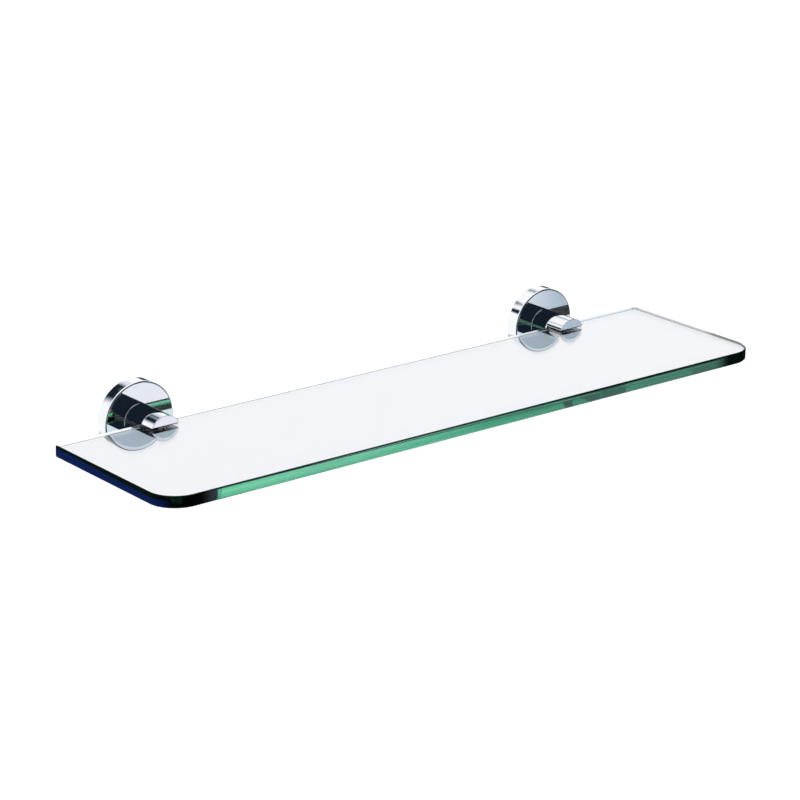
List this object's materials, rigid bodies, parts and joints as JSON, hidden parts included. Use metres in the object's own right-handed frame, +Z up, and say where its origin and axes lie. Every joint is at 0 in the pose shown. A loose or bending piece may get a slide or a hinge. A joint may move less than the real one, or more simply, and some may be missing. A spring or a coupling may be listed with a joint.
{
  "type": "wall shelf with brackets",
  "caption": "Glass wall shelf held in the slotted round posts of chrome wall brackets, each with a clamp screw and a hidden wall plate.",
  "frame": {"origin": "on the wall, midway between the two brackets, level with the post axes and the middle of the glass", "axes": "+X to the shelf's right seen from the room, +Y into the wall, +Z up; the front edge faces -Y"},
  "size_m": [0.5, 0.151, 0.053],
  "materials": {
    "shelf_glass": "clear float glass with polished edges",
    "cast_zinc": "plain zinc casting",
    "chrome_plate": "mirror chrome plate on brass",
    "plated_steel": "zinc plated",
    "hardened_steel": "plain ground steel",
    "pad_nylon": "natural nylon",
    "liner_plastic": "clear plastic"
  },
  "bodies": {
    "brackets": {"wall_plate_left": "cast_zinc", "wall_plate_right": "cast_zinc", "rosette_left": "chrome_plate", "rosette_right": "chrome_plate", "post_left": "chrome_plate", "post_right": "chrome_plate", "post_screw_left": "plated_steel", "post_screw_right": "plated_steel", "lock_washer_left": "plated_steel", "lock_washer_right": "plated_steel", "dowel_pin_left": "hardened_steel", "dowel_pin_right": "hardened_steel", "slot_liner_left": "liner_plastic", "slot_liner_right": "liner_plastic"},
    "glass": {"glass_shelf": "shelf_glass"},
    "pad_left": {"clamp_pad_left": "pad_nylon"},
    "pad_right": {"clamp_pad_right": "pad_nylon"},
    "clamp_left": {"clamp_screw_left": "hardened_steel"},
    "clamp_right": {"clamp_screw_right": "hardened_steel"},
    "lock_left": {"set_screw_left": "hardened_steel"},
    "lock_right": {"set_screw_right": "hardened_steel"}
  },
  "joints": [
    {"name": "glass_slide", "type": "slide", "parent": "brackets", "child": "glass", "axis": [0, -1, 0], "range_m": [0, 0.014]},
    {"name": "pad_travel_left", "type": "slide", "parent": "brackets", "child": "pad_left", "axis": [0, 0, -1], "range_m": [0, 0.003]},
    {"name": "clamp_turn_left", "type": "hinge", "parent": "pad_left", "child": "clamp_left", "pos_m": [-0.175, -0.033, 0], "axis": [0, 0, -1], "range_deg": [0, 1350]},
    {"name": "pad_travel_right", "type": "slide", "parent": "brackets", "child": "pad_right", "axis": [0, 0, -1], "range_m": [0, 0.003]},
    {"name": "clamp_turn_right", "type": "hinge", "parent": "pad_right", "child": "clamp_right", "pos_m": [0.175, -0.033, 0], "axis": [0, 0, -1], "range_deg": [0, 1350]},
    {"name": "set_screw_travel_left", "type": "slide", "parent": "brackets", "child": "lock_left", "axis": [0, 0, -1], "range_m": [0, 0.0025]},
    {"name": "set_screw_travel_right", "type": "slide", "parent": "brackets", "child": "lock_right", "axis": [0, 0, -1], "range_m": [0, 0.0025]}
  ],
  "couplings": [
    {"joint": "clamp_turn_left", "follows": "pad_travel_left", "rad_per_m": 7854},
    {"joint": "clamp_turn_right", "follows": "pad_travel_right", "rad_per_m": 7854}
  ]
}
